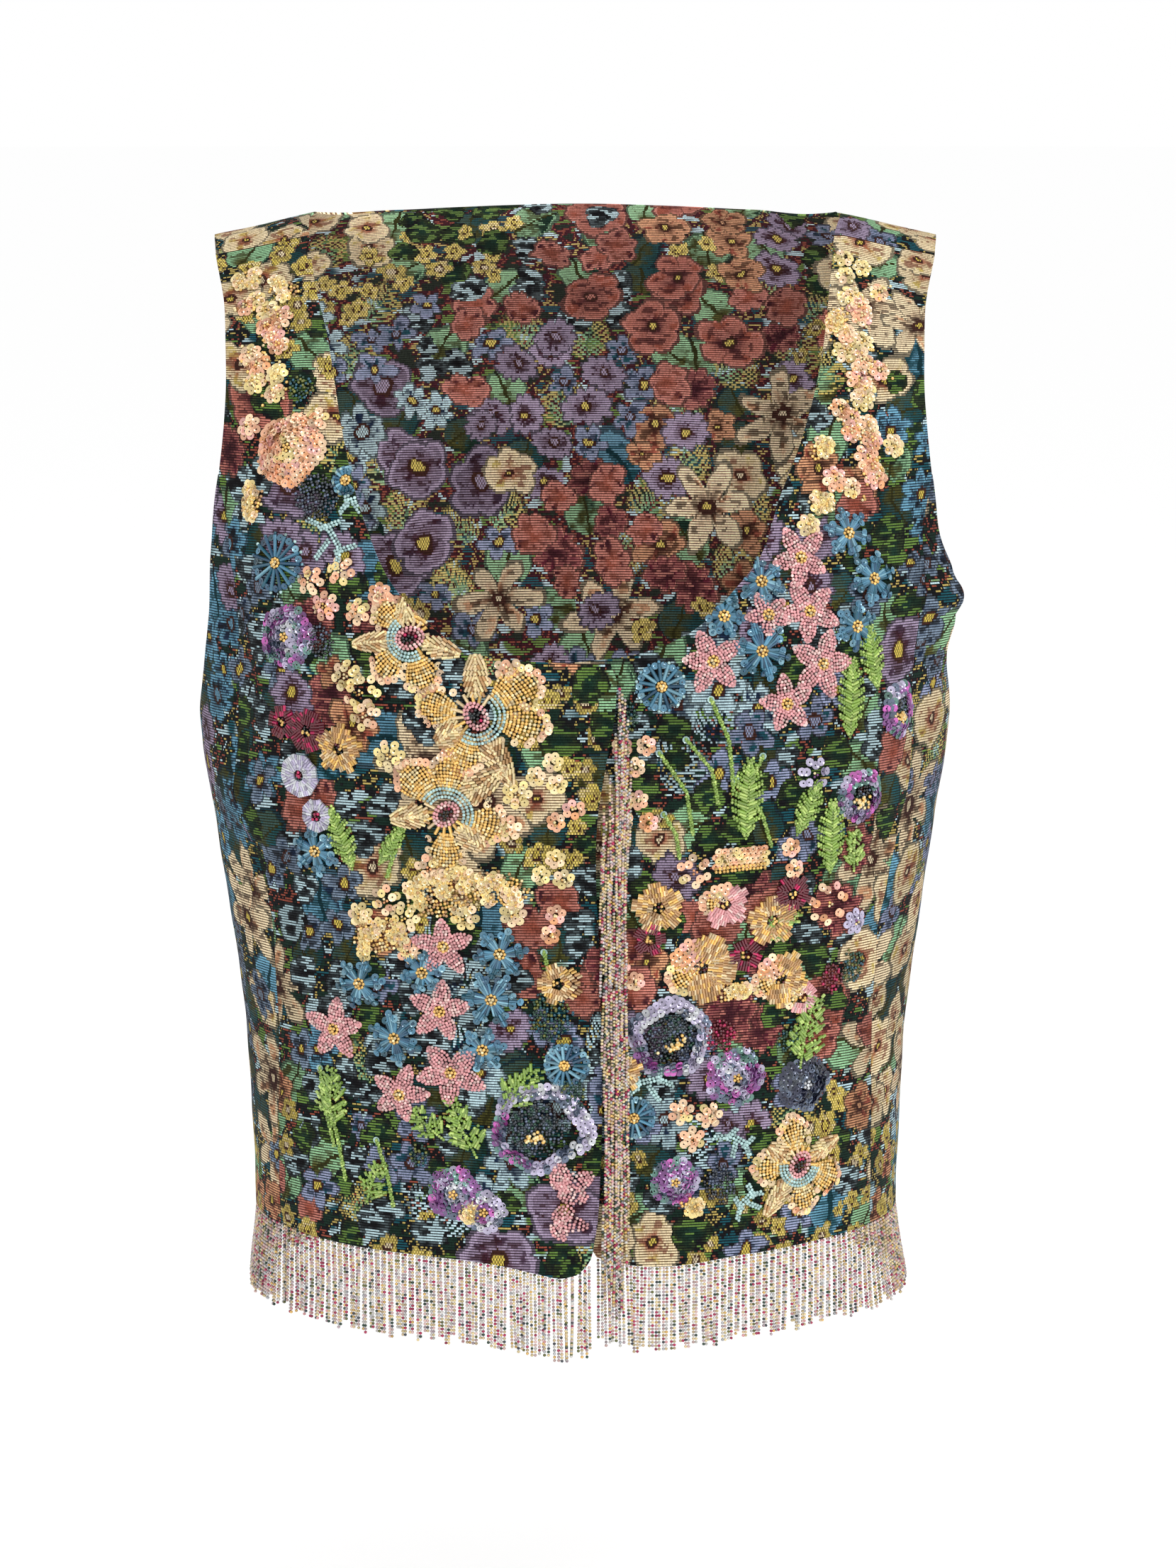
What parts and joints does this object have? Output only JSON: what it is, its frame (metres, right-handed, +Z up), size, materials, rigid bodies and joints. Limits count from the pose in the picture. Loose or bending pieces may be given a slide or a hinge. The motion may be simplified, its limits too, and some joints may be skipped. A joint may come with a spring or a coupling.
{
  "type": "fringed waistcoat",
  "caption": "Sleeveless waistcoat of flowered tapestry cloth, worn hollow, with a low scooped neck, bead and sequin flowers, and bead fringe at hem and front edge.",
  "frame": {"origin": "on the centre line between the shoulders, 3 mm under the top of the straps, where the wearer's shoulders carry it", "axes": "+Z up along the wearer, +X to the wearer's left, -Y out of the front"},
  "size_m": [0.3576, 0.2393, 0.5333],
  "materials": {
    "tapestry": "woven tapestry with flowers, embroidered with beads and sequins",
    "hem_beads": "glossy glass seed beads",
    "edge_beads": "glossy glass seed beads"
  },
  "bodies": {
    "root": {"front_right": "tapestry", "front_left": "tapestry", "back": "tapestry", "fringe_front_right": "hem_beads", "fringe_front_left": "hem_beads", "fringe_back": "hem_beads", "fringe_edge": "edge_beads"}
  },
  "joints": []
}
